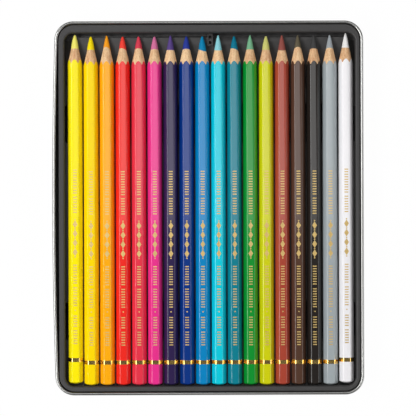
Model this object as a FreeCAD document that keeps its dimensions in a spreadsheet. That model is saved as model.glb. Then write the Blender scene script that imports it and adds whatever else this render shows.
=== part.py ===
"""Coloured pencil box: an open pressed tin, a formed plastic insert and a row of sharpened pencils.

Millimetres, +Z up. The origin is the middle of the tin's underside, +X runs along the row of pencils
and +Y points from their domed ends to their tips.
"""
import FreeCAD, Part
import math
import os

import Sketcher

OUTPUT_FOLDER = "parts"

# The pencils from left to right, each with the state of its point.
PENCILS = (
    ("lemon", "worn"),
    ("yellow", "worn"),
    ("orange", "fine"),
    ("scarlet", "worn"),
    ("crimson", "worn"),
    ("pink", "worn"),
    ("violet", "fine"),
    ("blue", "worn"),
    ("azure", "worn"),
    ("turquoise", "fine"),
    ("teal", "worn"),
    ("green", "fine"),
    ("lime", "worn"),
    ("russet", "fine"),
    ("brown", "fine"),
    ("black", "fine"),
    ("grey", "fine"),
    ("white", "fine"),
)

# Driving dimensions: alias, millimetres or degrees, and what each one measures.
DRIVING_DIMENSIONS = (
    ("pencil_length", "176.8", "domed end to a fine point"),
    ("pencil_flats", "6.6", "across the flats, over the lacquer"),
    ("pencil_edge_radius", "0.6", "rounding of the six long edges"),
    ("lacquer_thickness", "0.15", "coat on each flat"),
    ("bond_gap", "0.02", "between glued or coated faces"),
    ("end_cap", "1.25", "depth of the dipped end over the square-cut casing"),
    ("dome_radius", "6.9", "curve of the dipped end"),
    ("core_diameter", "3.8", "pigment core"),
    ("cone_angle", "12.5", "half angle of the sharpened cone"),
    ("fine_tip_radius", "0.32", "rounding of a fresh point"),
    ("worn_tip_radius", "0.46", "rounding of a used point"),
    ("pitch", "8.05", "pencil to pencil"),
    ("pencil_clearance", "0.15", "pencil to its groove"),
    ("end_gap", "0.2", "domed ends to the pocket's end wall"),
    ("tip_gap", "1.1", "points to the pocket's tip wall"),
    ("side_gap_left", "1.49", "first pencil to the pocket's side wall"),
    ("side_gap_right", "0.93", "last pencil to the pocket's side wall"),
    ("corner_seat", "0.9", "how far the outermost pencils stand off the rounded corners"),
    ("insert_sheet", "0.6", "wall of the formed insert"),
    ("flange_left", "2.9", "flange beside the first pencil"),
    ("flange_right", "2.3", "flange beside the last pencil"),
    ("flange_tip", "4.05", "flange past the points"),
    ("flange_end", "2.7", "flange past the domed ends"),
    ("flange_drop", "0.7", "flange below the top of the rim"),
    ("flange_roll", "1.0", "rounding of the flange into the pocket"),
    ("flange_edge_radius", "0.35", "rounding of the flange's outer edge"),
    ("pocket_corner_radius", "4.6", "corners of the pocket"),
    ("groove_depth", "2.6", "land between two grooves, above the groove floor"),
    ("tip_well_length", "28.0", "open well under the points"),
    ("tip_channel", "2.1", "open channel between the ramp under the points and the tip wall"),
    ("ramp_length", "10.6", "ramp that rises under the sharpened cones"),
    ("ramp_height", "2.35", "top of the ramp above the groove floor"),
    ("front_rest_length", "8.0", "grooves between the tip well and the first finger well"),
    ("finger_well_length", "19.6", "each of the two wells across the grooves"),
    ("middle_rest_length", "80.0", "grooves between the finger wells"),
    ("finger_well_depth", "2.2", "below the groove floor"),
    ("finger_well_radius", "1.5", "corners of the finger wells"),
    ("lug_width", "2.6", "moulded lug in the tip well"),
    ("lug_length", "6.6", "from the tip wall"),
    ("lug_height", "4.4", "above the groove floor"),
    ("lug_hole_diameter", "1.5", "blind holes in the lug"),
    ("lug_hole_depth", "2.0", "below the lug's top"),
    ("lug_hole_inset", "2.0", "first hole to the tip wall"),
    ("lug_hole_spacing", "2.8", "hole to hole"),
    ("insert_gap_left", "0.4", "insert to the tin's wall at the corners beside the first pencil"),
    ("insert_gap_right", "0.15", "insert to the tin's wall beside the last pencil"),
    ("insert_gap_tip", "0.25", "insert to the tin's wall past the points"),
    ("insert_gap_end", "0.3", "insert to the tin's wall past the domed ends"),
    ("seat_gap", "0.1", "insert to the tin's floor"),
    ("tin_sheet", "0.3", "tinplate thickness"),
    ("tin_corner_radius", "8.0", "inside corners of the tin's wall"),
    ("wall_bow", "1.36", "how far the thin wall beside the first pencil bows out at its middle"),
    ("tin_floor_radius", "2.0", "bend from the floor to the wall, outside"),
    ("curl_diameter", "1.6", "rolled rim, outside"),
    ("rim_cover", "1.05", "top of the rim above the pencils' upper flats"),
)

# Formulas for what follows from the driving dimensions.
ROW_SPAN = f"({len(PENCILS) - 1} * dims.pitch)"
PENCIL_WIDTH = "(dims.pencil_flats / cos(30) - 2 * dims.pencil_edge_radius * (1 / cos(30) - 1))"
CASING_FLATS = "(dims.pencil_flats - 2 * dims.lacquer_thickness)"
CASING_EDGE_RADIUS = "(dims.pencil_edge_radius - dims.lacquer_thickness)"
COAT_BORE_FLATS = f"({CASING_FLATS} + 2 * dims.bond_gap)"
CORE_RADIUS = "(dims.core_diameter / 2)"
CONE_APEX = "(dims.pencil_length + dims.fine_tip_radius * (1 / sin(dims.cone_angle) - 1))"

POCKET_WIDTH = f"({ROW_SPAN} + {PENCIL_WIDTH} + dims.side_gap_left + dims.side_gap_right)"
POCKET_LENGTH = "(dims.pencil_length + dims.end_gap + dims.tip_gap)"
WALL_WIDTH = f"({POCKET_WIDTH} + 2 * dims.insert_sheet)"
WALL_LENGTH = f"({POCKET_LENGTH} + 2 * dims.insert_sheet)"
WALL_RADIUS = "(dims.pocket_corner_radius + dims.insert_sheet)"
INSERT_WIDTH = f"({POCKET_WIDTH} + dims.flange_left + dims.flange_right)"
INSERT_LENGTH = f"({POCKET_LENGTH} + dims.flange_tip + dims.flange_end)"
TIN_INNER_WIDTH = f"({INSERT_WIDTH} + dims.insert_gap_left + dims.insert_gap_right)"
TIN_INNER_LENGTH = f"({INSERT_LENGTH} + dims.insert_gap_tip + dims.insert_gap_end)"

TIN_X = "(dims.wall_bow / 2)"
INSERT_X = f"({TIN_X} + (dims.insert_gap_left - dims.insert_gap_right) / 2)"
INSERT_Y = "((dims.insert_gap_end - dims.insert_gap_tip) / 2)"
POCKET_X = f"({INSERT_X} + (dims.flange_left - dims.flange_right) / 2)"
POCKET_Y = f"({INSERT_Y} + (dims.flange_end - dims.flange_tip) / 2)"
ROW_X = f"({POCKET_X} + (dims.side_gap_left - dims.side_gap_right) / 2)"
FIRST_PENCIL_X = f"({ROW_X} - {ROW_SPAN} / 2)"
END_WALL_Y = f"({POCKET_Y} - {POCKET_LENGTH} / 2)"
TIP_WALL_Y = f"({POCKET_Y} + {POCKET_LENGTH} / 2)"
TIP_WELL_Y = f"({TIP_WALL_Y} - dims.tip_well_length)"
FRONT_WELL_TOP_Y = f"({TIP_WELL_Y} - dims.front_rest_length)"
FRONT_WELL_Y = f"({FRONT_WELL_TOP_Y} - dims.finger_well_length)"
REAR_WELL_TOP_Y = f"({FRONT_WELL_Y} - dims.middle_rest_length)"
REAR_WELL_Y = f"({REAR_WELL_TOP_Y} - dims.finger_well_length)"

REST_Z = "(dims.tin_sheet + dims.seat_gap)"
WELL_FLOOR_Z = f"({REST_Z} + dims.insert_sheet)"
GROOVE_FLOOR_Z = f"({WELL_FLOOR_Z} + dims.finger_well_depth)"
LAND_Z = f"({GROOVE_FLOOR_Z} + dims.groove_depth)"
AXIS_Z = f"({GROOVE_FLOOR_Z} + dims.pencil_clearance + dims.pencil_flats / 2)"
RIM_Z = f"({AXIS_Z} + dims.pencil_flats / 2 + dims.rim_cover)"
FLANGE_Z = f"({RIM_Z} - dims.flange_drop)"
WALL_TOP_Z = f"({RIM_Z} - dims.curl_diameter / 2)"

START, END, CENTRE = 1, 2, 3
LEFT_TURN = 3
SKETCH_ORIGIN = (-1, 1)
SKETCH_X_AXIS = -1
SKETCH_Y_AXIS = -2
X_AXIS = FreeCAD.Vector(1, 0, 0)
Z_AXIS = FreeCAD.Vector(0, 0, 1)
PLACE_TOLERANCE = 1e-3
LUG_HOLES = 2

doc = FreeCAD.newDocument("PencilBox")
dims = doc.addObject("Spreadsheet::Sheet", "dims")
for row, (alias, value, meaning) in enumerate(DRIVING_DIMENSIONS, start=1):
    dims.set(f"A{row}", meaning)
    dims.set(f"B{row}", value)
    dims.setAlias(f"B{row}", alias)
doc.recompute()


def measure(formula):
    """The present value of a formula."""
    return float(dims.evalExpression(formula))


def new_body(label):
    body = doc.addObject("PartDesign::Body", label)
    body.Label = label
    return body


def new_sketch(body, name, plane, **offset):
    """A sketch on one of the body's own origin planes, moved by formulas for x, y and z."""
    sketch = body.newObject("Sketcher::SketchObject", name)
    support = [item for item in body.Origin.OriginFeatures if item.Role == plane]
    sketch.AttachmentSupport = [(support[0], "")]
    sketch.MapMode = "FlatFace"
    for axis, formula in offset.items():
        sketch.setExpression(f"AttachmentOffset.Base.{axis}", formula)
    return sketch


def constrain(sketch, kind, *where, formula=None):
    """Add one constraint, bound to a formula where it has a size."""
    if formula is None:
        sketch.addConstraint(Sketcher.Constraint(kind, *where))
        return
    index = sketch.addConstraint(Sketcher.Constraint(kind, *where, measure(formula)))
    sketch.setExpression(f"Constraints[{index}]", formula)


def pin(sketch, item, point, x, y):
    """Hold a point of a sketch at formulas for x and y; None puts it on that axis."""
    if x is None:
        constrain(sketch, "PointOnObject", item, point, SKETCH_Y_AXIS)
    else:
        constrain(sketch, "DistanceX", *SKETCH_ORIGIN, item, point, formula=x)
    if y is None:
        constrain(sketch, "PointOnObject", item, point, SKETCH_X_AXIS)
    else:
        constrain(sketch, "DistanceY", *SKETCH_ORIGIN, item, point, formula=y)


def draw_polygon(sketch, corners):
    """A closed run of lines through corners given as pairs of formulas."""
    places = []
    for x, y in corners:
        across = 0 if x is None else measure(x)
        along = 0 if y is None else measure(y)
        places.append(FreeCAD.Vector(across, along, 0))
    count = len(places)
    for index, place in enumerate(places):
        sketch.addGeometry(Part.LineSegment(place, places[(index + 1) % count]))
    for index, (x, y) in enumerate(corners):
        constrain(sketch, "Coincident", index, END, (index + 1) % count, START)
        pin(sketch, index, START, x, y)


def draw_rounded_rectangle(sketch, width, length, radius, bow=None):
    """Lines and tangent arcs, anticlockwise from the lower side, centred on the sketch's origin.

    A bow swells the left side outwards between its corners.
    """
    half_width = measure(width) / 2
    half_length = measure(length) / 2
    corner = measure(radius)
    first = sketch.GeometryCount
    for turn in range(4):
        angle = turn * math.pi / 2
        across, along = (half_width, half_length) if turn % 2 == 0 else (half_length, half_width)
        spin = FreeCAD.Rotation(Z_AXIS, math.degrees(angle))
        side_start = spin.multVec(FreeCAD.Vector(corner - across, -along, 0))
        side_end = spin.multVec(FreeCAD.Vector(across - corner, -along, 0))
        middle = spin.multVec(FreeCAD.Vector(across - corner, corner - along, 0))
        if bow and turn == LEFT_TURN:
            crest = FreeCAD.Vector(-half_width - measure(bow), 0, 0)
            sketch.addGeometry(Part.Arc(side_start, crest, side_end))
        else:
            sketch.addGeometry(Part.LineSegment(side_start, side_end))
        circle = Part.Circle(middle, Z_AXIS, corner)
        sketch.addGeometry(Part.ArcOfCircle(circle, angle - math.pi / 2, angle))
    lower, right, upper, left = (first + place for place in (0, 2, 4, 6))
    arcs = tuple(first + place for place in (1, 3, 5, 7))
    for item in range(8):
        constrain(sketch, "Tangent", first + item, END, first + (item + 1) % 8, START)
    for side in (lower, upper):
        constrain(sketch, "Horizontal", side)
    constrain(sketch, "Vertical", right)
    if bow:
        half_side = f"({length} / 2 - {radius})"
        bow_radius = f"(({half_side} ^ 2 + {bow} ^ 2) / (2 * {bow}) + {radius})"
        constrain(sketch, "Vertical", arcs[2], CENTRE, arcs[3], CENTRE)
        constrain(sketch, "Radius", left, formula=bow_radius)
    else:
        constrain(sketch, "Vertical", left)
    for arc in arcs[1:]:
        constrain(sketch, "Equal", arcs[0], arc)
    constrain(sketch, "Symmetric", arcs[0], CENTRE, arcs[2], CENTRE, *SKETCH_ORIGIN)
    constrain(sketch, "Radius", arcs[0], formula=radius)
    constrain(sketch, "DistanceX", arcs[3], CENTRE, arcs[0], CENTRE, formula=f"({width} - 2 * {radius})")
    constrain(sketch, "DistanceY", lower, START, upper, START, formula=length)


def draw_circle(sketch, radius, x=None, y=None):
    middle = FreeCAD.Vector(measure(x) if x else 0, measure(y) if y else 0, 0)
    sketch.addGeometry(Part.Circle(middle, Z_AXIS, measure(radius)))
    pin(sketch, 0, CENTRE, x, y)
    constrain(sketch, "Radius", 0, formula=radius)


def draw_hexagon(sketch, flats, edge_radius):
    """A hexagon with rounded corners on the sketch's origin, with flats across its y axis."""
    straight = f"(({flats} / 2 - {edge_radius}) * tan(30))"
    radius = measure(edge_radius)
    middle_distance = (measure(flats) / 2 - radius) / math.cos(math.pi / 6)
    sides = range(6)
    ends = []
    for side in sides:
        turn = 60 * side - 90
        along = f"{flats} / 2 * cos({turn})", f"{flats} / 2 * sin({turn})"
        across = f"{straight} * sin({turn})", f"{straight} * cos({turn})"
        first = f"({along[0]} + {across[0]})", f"({along[1]} - {across[1]})"
        last = f"({along[0]} - {across[0]})", f"({along[1]} + {across[1]})"
        ends.append((first, last))
    for first, last in ends:
        points = [FreeCAD.Vector(measure(x), measure(y), 0) for x, y in (first, last)]
        sketch.addGeometry(Part.LineSegment(*points))
    for side in sides:
        angle = math.radians(60 * side - 60)
        middle = FreeCAD.Vector(math.cos(angle), math.sin(angle), 0) * middle_distance
        circle = Part.Circle(middle, Z_AXIS, radius)
        sketch.addGeometry(Part.ArcOfCircle(circle, angle - math.pi / 6, angle + math.pi / 6))
    for side, (first, last) in enumerate(ends):
        corner = side + len(sides)
        pin(sketch, side, START, *first)
        pin(sketch, side, END, *last)
        constrain(sketch, "Coincident", side, END, corner, START)
        constrain(sketch, "Coincident", corner, END, (side + 1) % len(sides), START)
        constrain(sketch, "Radius", corner, formula=edge_radius)


def add_pad(body, name, sketch, length, reverse=False):
    pad = body.newObject("PartDesign::Pad", name)
    pad.Profile = sketch
    pad.Reversed = reverse
    pad.setExpression("Length", length)
    doc.recompute()
    return pad


def add_pocket(body, name, sketch, depth, reverse=False):
    """A cut of the given depth that has to take something away."""
    before = body.Tip.Shape.Volume
    pocket = body.newObject("PartDesign::Pocket", name)
    pocket.Profile = sketch
    pocket.Reversed = reverse
    pocket.setExpression("Length", depth)
    doc.recompute()
    if pocket.Shape.Volume >= before:
        raise RuntimeError(f"{body.Label}: {name} cuts nothing")
    return pocket


def add_groove(body, name, sketch):
    """A full turned cut about the sketch's y axis that has to take something away."""
    before = body.Tip.Shape.Volume
    groove = body.newObject("PartDesign::Groove", name)
    groove.Profile = sketch
    groove.ReferenceAxis = (sketch, ["V_Axis"])
    groove.Angle = 360
    doc.recompute()
    if groove.Shape.Volume >= before:
        raise RuntimeError(f"{body.Label}: {name} cuts nothing")
    return groove


def add_fillet(body, name, chosen, radius):
    """Round the edges of the body's tip for which chosen is true."""
    base = body.Tip
    edges = [f"Edge{n}" for n, edge in enumerate(base.Shape.Edges, start=1) if chosen(edge)]
    fillet = body.newObject("PartDesign::Fillet", name)
    fillet.Base = (base, edges)
    fillet.setExpression("Radius", radius)
    doc.recompute()


def add_row_pattern(body, name, feature):
    """Repeat a feature for every pencil of the row."""
    pattern = body.newObject("PartDesign::LinearPattern", name)
    pattern.Originals = [feature]
    along = [item for item in body.Origin.OriginFeatures if item.Role == "X_Axis"]
    pattern.Direction = (along[0], [""])
    pattern.Occurrences = len(PENCILS)
    pattern.setExpression("Length", ROW_SPAN)
    body.Tip = pattern
    doc.recompute()
    return pattern


def is_level(edge, height):
    return all(abs(vertex.Z - height) <= PLACE_TOLERANCE for vertex in edge.Vertexes)


def make_tin():
    """Pressed tray: floor, round bend, wall and an outward rolled rim of one sheet."""
    body = new_body("tin_base")
    outer = new_sketch(body, "tin_outline", "XY_Plane", x=TIN_X)
    draw_rounded_rectangle(
        outer,
        f"({TIN_INNER_WIDTH} + 2 * dims.tin_sheet)",
        f"({TIN_INNER_LENGTH} + 2 * dims.tin_sheet)",
        "(dims.tin_corner_radius + dims.tin_sheet)",
        "dims.wall_bow",
    )
    add_pad(body, "tin_block", outer, WALL_TOP_Z)
    inner = new_sketch(body, "tin_inside", "XY_Plane", x=TIN_X, z="dims.tin_sheet")
    draw_rounded_rectangle(inner, TIN_INNER_WIDTH, TIN_INNER_LENGTH, "dims.tin_corner_radius", "dims.wall_bow")
    add_pocket(body, "tin_hollow", inner, WALL_TOP_Z, reverse=True)
    floor = measure("dims.tin_sheet")
    add_fillet(
        body, "tin_inner_bend", lambda edge: is_level(edge, floor), "(dims.tin_floor_radius - dims.tin_sheet)"
    )
    add_fillet(body, "tin_bend", lambda edge: is_level(edge, 0), "dims.tin_floor_radius")
    add_rim_curl(body)
    return body


def add_rim_curl(body):
    """Three quarters of a tube, swept round the rim from the top of the wall."""
    spine = new_sketch(body, "rim_line", "XY_Plane", x=TIN_X, z=WALL_TOP_Z)
    draw_rounded_rectangle(
        spine,
        f"({TIN_INNER_WIDTH} + dims.curl_diameter)",
        f"({TIN_INNER_LENGTH} + dims.curl_diameter)",
        "(dims.tin_corner_radius + dims.curl_diameter / 2)",
        "dims.wall_bow",
    )
    section = new_sketch(body, "curl_section", "XZ_Plane")
    middle_x = f"({TIN_X} + {TIN_INNER_WIDTH} / 2 + dims.curl_diameter / 2)"
    middle = FreeCAD.Vector(measure(middle_x), measure(WALL_TOP_Z), 0)
    outer_radius = "(dims.curl_diameter / 2)"
    inner_radius = "(dims.curl_diameter / 2 - dims.tin_sheet)"
    for radius in (outer_radius, inner_radius):
        circle = Part.Circle(middle, Z_AXIS, measure(radius))
        section.addGeometry(Part.ArcOfCircle(circle, -math.pi / 2, math.pi))
    outer, inner, free_edge, root = 0, 1, 2, 3
    for angle in (-math.pi / 2, math.pi):
        reach = FreeCAD.Vector(math.cos(angle), math.sin(angle), 0)
        section.addGeometry(Part.LineSegment(
            middle + reach * measure(outer_radius), middle + reach * measure(inner_radius)
        ))
    pin(section, outer, CENTRE, middle_x, WALL_TOP_Z)
    constrain(section, "Coincident", outer, CENTRE, inner, CENTRE)
    constrain(section, "Radius", outer, formula=outer_radius)
    constrain(section, "Radius", inner, formula=inner_radius)
    for arc, end_of_line in ((outer, START), (inner, END)):
        constrain(section, "Vertical", arc, START, arc, CENTRE)
        constrain(section, "Horizontal", arc, END, arc, CENTRE)
        constrain(section, "Coincident", arc, START, free_edge, end_of_line)
        constrain(section, "Coincident", arc, END, root, end_of_line)
    doc.recompute()
    curl = body.newObject("PartDesign::AdditivePipe", "rim_curl")
    curl.Profile = section
    curl.Spine = (spine, [])
    doc.recompute()


def make_insert():
    """Formed tray: flange, pocket, grooves on three rests, tip well, finger wells and a lug."""
    body = new_body("insert_tray")
    block = new_sketch(body, "pocket_wall", "XY_Plane", x=POCKET_X, y=POCKET_Y, z=REST_Z)
    draw_rounded_rectangle(block, WALL_WIDTH, WALL_LENGTH, WALL_RADIUS)
    add_pad(body, "insert_block", block, f"({FLANGE_Z} - {REST_Z})")
    flange = new_sketch(body, "flange_outline", "XY_Plane", x=INSERT_X, y=INSERT_Y, z=FLANGE_Z)
    draw_rounded_rectangle(
        flange, INSERT_WIDTH, INSERT_LENGTH, "(dims.tin_corner_radius - dims.insert_gap_right)"
    )
    add_pad(body, "flange", flange, "dims.insert_sheet", reverse=True)
    top = measure(FLANGE_Z)
    add_fillet(body, "flange_edge", lambda edge: is_level(edge, top), "dims.flange_edge_radius")
    pocket = new_sketch(body, "pocket_outline", "XY_Plane", x=POCKET_X, y=POCKET_Y, z=FLANGE_Z)
    draw_rounded_rectangle(pocket, POCKET_WIDTH, POCKET_LENGTH, "dims.pocket_corner_radius")
    add_pocket(body, "pocket", pocket, f"({FLANGE_Z} - {LAND_Z})")
    round_pocket_rim(body)
    hollow_underside(body)
    add_tip_well(body)
    add_grooves(body)
    close_wall(body)
    add_finger_wells(body)
    add_lug(body)
    return body


def round_pocket_rim(body):
    """Roll the flange over into the pocket."""
    top = measure(FLANGE_Z)
    reach_x = measure(POCKET_WIDTH) / 2 + PLACE_TOLERANCE
    reach_y = measure(POCKET_LENGTH) / 2 + PLACE_TOLERANCE
    middle_x = measure(POCKET_X)
    middle_y = measure(POCKET_Y)

    def on_pocket_rim(edge):
        inside = all(
            abs(vertex.X - middle_x) <= reach_x and abs(vertex.Y - middle_y) <= reach_y
            for vertex in edge.Vertexes
        )
        return inside and is_level(edge, top)

    add_fillet(body, "flange_roll", on_pocket_rim, "dims.flange_roll")


def draw_pocket_stretch(body, name, low_y, high_y, radius, height):
    """A sketch as wide as the pocket, between two places along the pencils."""
    sketch = new_sketch(body, name, "XY_Plane", x=POCKET_X, y=f"(({low_y} + {high_y}) / 2)", z=height)
    draw_rounded_rectangle(sketch, POCKET_WIDTH, f"({high_y} - {low_y})", radius)
    return sketch


def hollow_underside(body):
    """Leave one sheet over each rest and over the tip well, with a web at each end of a rest."""
    web = "dims.insert_sheet"
    slot_radius = "dims.finger_well_radius"
    end_radius = "dims.pocket_corner_radius"
    hollows = (
        ("front_rest", f"({FRONT_WELL_TOP_Y} + {web})", f"({TIP_WELL_Y} - {web})", slot_radius, LAND_Z),
        ("middle_rest", f"({REAR_WELL_TOP_Y} + {web})", f"({FRONT_WELL_Y} - {web})", slot_radius, LAND_Z),
        ("rear_rest", END_WALL_Y, f"({REAR_WELL_Y} - {web})", end_radius, LAND_Z),
        ("tip_well", TIP_WELL_Y, TIP_WALL_Y, end_radius, GROOVE_FLOOR_Z),
    )
    for name, low_y, high_y, radius, ceiling in hollows:
        outline = draw_pocket_stretch(body, f"{name}_hollow", low_y, high_y, radius, REST_Z)
        depth = f"({ceiling} - dims.insert_sheet - {REST_Z})"
        add_pocket(body, f"{name}_underside", outline, depth, reverse=True)


def draw_half_hexagon(sketch, flats, height):
    """The lower part of a hexagon on the pencil's axis, cut off at a height above its lower flat."""
    bottom = f"({AXIS_Z} - {flats} / 2)"
    top = f"({bottom} + {height})"
    lower_half = f"({flats} / 2 * tan(30))"
    upper_half = f"({lower_half} + {height} * tan(30))"
    draw_polygon(sketch, (
        (f"-{lower_half}", bottom),
        (lower_half, bottom),
        (upper_half, top),
        (f"-{upper_half}", top),
    ))


def add_tip_well(body):
    """Cut the well under the points down to the groove floor and raise a ramp in it, clear of its walls."""
    radius = "dims.pocket_corner_radius"
    outline = draw_pocket_stretch(body, "tip_well_outline", TIP_WELL_Y, TIP_WALL_Y, radius, LAND_Z)
    add_pocket(body, "tip_well", outline, f"({LAND_Z} - {GROOVE_FLOOR_Z})")
    section = new_sketch(body, "ramp_section", "YZ_Plane", z=FIRST_PENCIL_X)
    high = f"({TIP_WALL_Y} - dims.tip_channel)"
    low = f"({high} - dims.ramp_length)"
    top = f"({GROOVE_FLOOR_Z} + dims.ramp_height)"
    draw_polygon(section, ((low, GROOVE_FLOOR_Z), (high, GROOVE_FLOOR_Z), (high, top)))
    add_pad(body, "tip_ramp", section, ROW_SPAN)


def add_grooves(body):
    """A trough of sheet for each pencil up to the tip well, and its groove through the well's corner."""
    groove_flats = "(dims.pencil_flats + 2 * dims.pencil_clearance)"
    trough_flats = f"({groove_flats} + 2 * dims.insert_sheet)"
    length = f"({TIP_WELL_Y} - {END_WALL_Y})"
    groove_length = f"({length} + dims.pocket_corner_radius)"
    back = f"-{END_WALL_Y}"
    trough = new_sketch(body, "trough_section", "XZ_Plane", x=FIRST_PENCIL_X, z=back)
    draw_half_hexagon(trough, trough_flats, "(dims.groove_depth + dims.insert_sheet)")
    first_trough = add_pad(body, "first_trough", trough, length, reverse=True)
    add_row_pattern(body, "troughs", first_trough)
    groove = new_sketch(body, "groove_section", "XZ_Plane", x=FIRST_PENCIL_X, z=back)
    draw_half_hexagon(groove, groove_flats, f"({groove_flats} / 2)")
    first_groove = add_pocket(body, "first_groove", groove, groove_length)
    add_row_pattern(body, "grooves", first_groove)


def close_wall(body):
    """Trim the outermost troughs outside the pocket's wall, and close the wall where their grooves met it."""
    trim = new_sketch(body, "trough_trim_ring", "XY_Plane", x=POCKET_X, y=POCKET_Y, z=REST_Z)
    draw_rounded_rectangle(trim, WALL_WIDTH, WALL_LENGTH, WALL_RADIUS)
    draw_rounded_rectangle(
        trim,
        f"({WALL_WIDTH} + 2 * dims.flange_left)",
        f"({WALL_LENGTH} + 2 * dims.flange_left)",
        f"({WALL_RADIUS} + dims.flange_left)",
    )
    add_pocket(body, "trough_trim", trim, f"({LAND_Z} - {REST_Z})", reverse=True)
    ring = new_sketch(body, "wall_ring", "XY_Plane", x=POCKET_X, y=POCKET_Y, z=REST_Z)
    draw_rounded_rectangle(ring, WALL_WIDTH, WALL_LENGTH, WALL_RADIUS)
    draw_rounded_rectangle(ring, POCKET_WIDTH, POCKET_LENGTH, "dims.pocket_corner_radius")
    add_pad(body, "closed_wall", ring, f"({AXIS_Z} - {REST_Z})")


def add_finger_wells(body):
    """Cut the two wells across the grooves, below the groove floor."""
    wells = (
        ("front_finger_well", FRONT_WELL_Y, FRONT_WELL_TOP_Y),
        ("rear_finger_well", REAR_WELL_Y, REAR_WELL_TOP_Y),
    )
    radius = "dims.finger_well_radius"
    for name, low_y, high_y in wells:
        outline = draw_pocket_stretch(body, f"{name}_outline", low_y, high_y, radius, LAND_Z)
        add_pocket(body, name, outline, f"({LAND_Z} - {WELL_FLOOR_Z})")


def add_lug(body):
    """A block against the tip wall between the two middle points, with blind holes."""
    left = f"({ROW_X} - dims.lug_width / 2)"
    right = f"({ROW_X} + dims.lug_width / 2)"
    low = f"({TIP_WALL_Y} - dims.lug_length)"
    outline = new_sketch(body, "lug_outline", "XY_Plane", z=GROOVE_FLOOR_Z)
    draw_polygon(outline, ((left, low), (right, low), (right, TIP_WALL_Y), (left, TIP_WALL_Y)))
    add_pad(body, "lug", outline, "dims.lug_height")
    top = f"({GROOVE_FLOOR_Z} + dims.lug_height)"
    for number in range(LUG_HOLES):
        place = f"({TIP_WALL_Y} - dims.lug_hole_inset - {number} * dims.lug_hole_spacing)"
        hole = new_sketch(body, f"lug_hole_circle_{number + 1}", "XY_Plane", z=top)
        draw_circle(hole, "(dims.lug_hole_diameter / 2)", ROW_X, place)
        add_pocket(body, f"lug_hole_{number + 1}", hole, "dims.lug_hole_depth")


def place_pencil(body, index):
    """Lay a body that was built along +Z into its groove, with its tip towards +Y."""
    body.Placement = FreeCAD.Placement(FreeCAD.Vector(), FreeCAD.Rotation(X_AXIS, -90))
    outermost = index in (0, len(PENCILS) - 1)
    seat = "dims.corner_seat" if outermost else "0"
    body.setExpression("Placement.Base.x", f"{FIRST_PENCIL_X} + {index} * dims.pitch")
    body.setExpression("Placement.Base.y", f"{END_WALL_Y} + dims.end_gap + {seat}")
    body.setExpression("Placement.Base.z", AXIS_Z)


def add_hexagon_pad(body, flats, start, edge_radius):
    """The hexagonal stick with rounded long edges, from a start height to the point."""
    outline = new_sketch(body, f"{body.Label}_hexagon", "XY_Plane", z=start)
    draw_hexagon(outline, flats, edge_radius)
    add_pad(body, f"{body.Label}_stick", outline, f"(dims.pencil_length - {start})")


def sharpen(body):
    """Turn away what lies outside the sharpener's cone."""
    reach = "dims.pencil_flats"
    waste = new_sketch(body, f"{body.Label}_cone", "XZ_Plane")
    draw_polygon(waste, (
        (None, CONE_APEX),
        (reach, f"({CONE_APEX} - {reach} / tan(dims.cone_angle))"),
        (reach, CONE_APEX),
    ))
    add_groove(body, f"{body.Label}_sharpening", waste)


def make_core(label, index, tip):
    """Pigment core: a turned rod with a cone and a rounded point."""
    body = new_body(label)
    tip_radius = f"dims.{tip}_tip_radius"
    tip_z = f"({CONE_APEX} - {tip_radius} * (1 / sin(dims.cone_angle) - 1))"
    shoulder_z = f"({CONE_APEX} - {CORE_RADIUS} / tan(dims.cone_angle))"
    section = new_sketch(body, f"{label}_section", "XZ_Plane")
    foot = FreeCAD.Vector(0, measure("dims.end_cap"), 0)
    rim = FreeCAD.Vector(measure(CORE_RADIUS), foot.y, 0)
    shoulder = FreeCAD.Vector(rim.x, measure(shoulder_z), 0)
    radius = measure(tip_radius)
    angle = math.radians(measure("dims.cone_angle"))
    middle = FreeCAD.Vector(0, measure(tip_z) - radius, 0)
    meet = middle + FreeCAD.Vector(math.cos(angle), math.sin(angle), 0) * radius
    point = FreeCAD.Vector(0, measure(tip_z), 0)
    section.addGeometry(Part.LineSegment(foot, rim))
    section.addGeometry(Part.LineSegment(rim, shoulder))
    section.addGeometry(Part.LineSegment(shoulder, meet))
    section.addGeometry(Part.ArcOfCircle(Part.Circle(middle, Z_AXIS, radius), angle, math.pi / 2))
    section.addGeometry(Part.LineSegment(point, foot))
    base, side, cone, nose, axis = range(5)
    pin(section, base, START, None, "dims.end_cap")
    pin(section, side, START, CORE_RADIUS, "dims.end_cap")
    pin(section, cone, START, CORE_RADIUS, shoulder_z)
    pin(section, axis, START, None, tip_z)
    constrain(section, "Coincident", base, END, side, START)
    constrain(section, "Coincident", side, END, cone, START)
    constrain(section, "Tangent", cone, END, nose, START)
    constrain(section, "Coincident", nose, END, axis, START)
    constrain(section, "Coincident", axis, END, base, START)
    constrain(section, "PointOnObject", nose, CENTRE, SKETCH_Y_AXIS)
    constrain(section, "Radius", nose, formula=tip_radius)
    rod = body.newObject("PartDesign::Revolution", f"{label}_rod")
    rod.Profile = section
    rod.ReferenceAxis = (section, ["V_Axis"])
    rod.Angle = 360
    place_pencil(body, index)
    doc.recompute()
    return body


def make_casing(label, index):
    """Cedar casing: a hexagonal stick, bored for the core and sharpened."""
    body = new_body(label)
    add_hexagon_pad(body, CASING_FLATS, "dims.end_cap", CASING_EDGE_RADIUS)
    bore = new_sketch(body, f"{label}_bore_circle", "XY_Plane", z="dims.end_cap")
    draw_circle(bore, f"({CORE_RADIUS} + dims.bond_gap)")
    add_pocket(body, f"{label}_bore", bore, "dims.pencil_length", reverse=True)
    sharpen(body)
    place_pencil(body, index)
    doc.recompute()
    return body


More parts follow.
